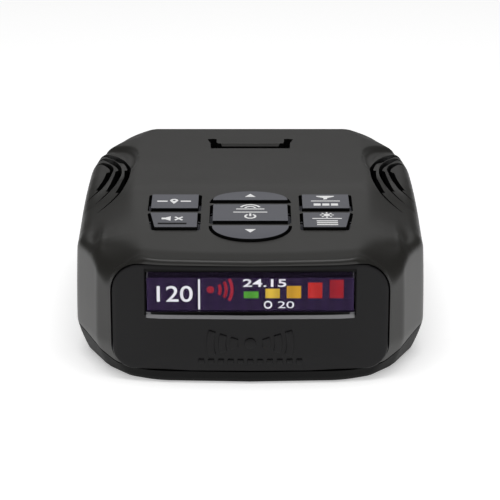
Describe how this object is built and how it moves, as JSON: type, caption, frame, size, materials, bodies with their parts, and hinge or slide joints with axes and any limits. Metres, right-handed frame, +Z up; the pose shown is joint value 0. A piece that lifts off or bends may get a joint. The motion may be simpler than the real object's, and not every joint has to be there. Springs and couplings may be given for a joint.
{
  "type": "radar detector",
  "caption": "Compact windshield radar and laser detector with a colour display on its end face, a tilted key plate, side sound grilles and a bracket slot in the roof.",
  "frame": {"origin": "on the surface the unit rests on, under the middle of its bounding box", "axes": "+Z up, display faces -Y towards the driver, antenna end faces +Y, +X to the right seen from the display end"},
  "size_m": [0.0746, 0.1001, 0.0312],
  "materials": {
    "upper_housing": "satin textured warm dark grey",
    "lower_housing": "matt near black",
    "front_panel": "satin near black",
    "window": "polished dark tint",
    "display": "dark glass over a lit matrix",
    "key": "moulded blue grey with white marks",
    "circuit_board": "green solder mask",
    "tinned_can": "bright tinned steel",
    "sheet_steel": "plain zinc plated",
    "die_casting": "as cast",
    "flex_circuit": "amber polyimide",
    "ceramic": "fired ceramic",
    "infrared_window": "polished dark red",
    "black_plastic": "moulded black",
    "foam": "closed cell foam",
    "label": "printed foil",
    "screw": "zinc plated"
  },
  "bodies": {
    "root": {"upper_housing": "upper_housing", "lower_housing": "lower_housing", "front_panel": "front_panel", "display_window": "window", "display_module": "display", "display_bracket": "sheet_steel", "display_flex": "flex_circuit", "key_board": "circuit_board", "key_ribbon": "flex_circuit", "main_board": "circuit_board", "processor_shield": "tinned_can", "horn_antenna": "die_casting", "microwave_board": "circuit_board", "microwave_shield": "tinned_can", "gps_antenna": "ceramic", "laser_lens": "infrared_window", "laser_sensor": "black_plastic", "speaker": "black_plastic", "speaker_gasket": "foam", "power_socket": "black_plastic", "usb_socket": "tinned_can", "audio_socket": "black_plastic", "bracket_socket": "sheet_steel", "bracket_spring": "sheet_steel", "rating_label": "label", "switch_mark": "tinned_can", "switch_mute": "tinned_can", "switch_up": "tinned_can", "switch_power": "tinned_can", "switch_down": "tinned_can", "switch_filter": "tinned_can", "switch_menu": "tinned_can", "board_screw_1": "screw", "case_screw_1": "screw", "board_screw_2": "screw", "case_screw_2": "screw", "board_screw_3": "screw", "case_screw_3": "screw", "board_screw_4": "screw", "case_screw_4": "screw", "key_board_screw_left": "screw", "key_board_screw_right": "screw"},
    "mark_key": {"key_mark": "key", "plunger_mark": "black_plastic"},
    "mute_key": {"key_mute": "key", "plunger_mute": "black_plastic"},
    "up_key": {"key_up": "key", "plunger_up": "black_plastic"},
    "power_key": {"key_power": "key", "plunger_power": "black_plastic"},
    "down_key": {"key_down": "key", "plunger_down": "black_plastic"},
    "filter_key": {"key_filter": "key", "plunger_filter": "black_plastic"},
    "menu_key": {"key_menu": "key", "plunger_menu": "black_plastic"}
  },
  "joints": [
    {"name": "mark_key_press", "type": "slide", "parent": "root", "child": "mark_key", "axis": [0, 0.1132, -0.9936], "range_m": [0, 0.0005], "stiffness_N_per_m": 600, "springref_m": -0.0008},
    {"name": "mute_key_press", "type": "slide", "parent": "root", "child": "mute_key", "axis": [0, 0.1132, -0.9936], "range_m": [0, 0.0005], "stiffness_N_per_m": 600, "springref_m": -0.0008},
    {"name": "up_key_press", "type": "slide", "parent": "root", "child": "up_key", "axis": [0, 0.1132, -0.9936], "range_m": [0, 0.0005], "stiffness_N_per_m": 600, "springref_m": -0.0008},
    {"name": "power_key_press", "type": "slide", "parent": "root", "child": "power_key", "axis": [0, 0.1132, -0.9936], "range_m": [0, 0.0005], "stiffness_N_per_m": 600, "springref_m": -0.0008},
    {"name": "down_key_press", "type": "slide", "parent": "root", "child": "down_key", "axis": [0, 0.1132, -0.9936], "range_m": [0, 0.0005], "stiffness_N_per_m": 600, "springref_m": -0.0008},
    {"name": "filter_key_press", "type": "slide", "parent": "root", "child": "filter_key", "axis": [0, 0.1132, -0.9936], "range_m": [0, 0.0005], "stiffness_N_per_m": 600, "springref_m": -0.0008},
    {"name": "menu_key_press", "type": "slide", "parent": "root", "child": "menu_key", "axis": [0, 0.1132, -0.9936], "range_m": [0, 0.0005], "stiffness_N_per_m": 600, "springref_m": -0.0008}
  ]
}
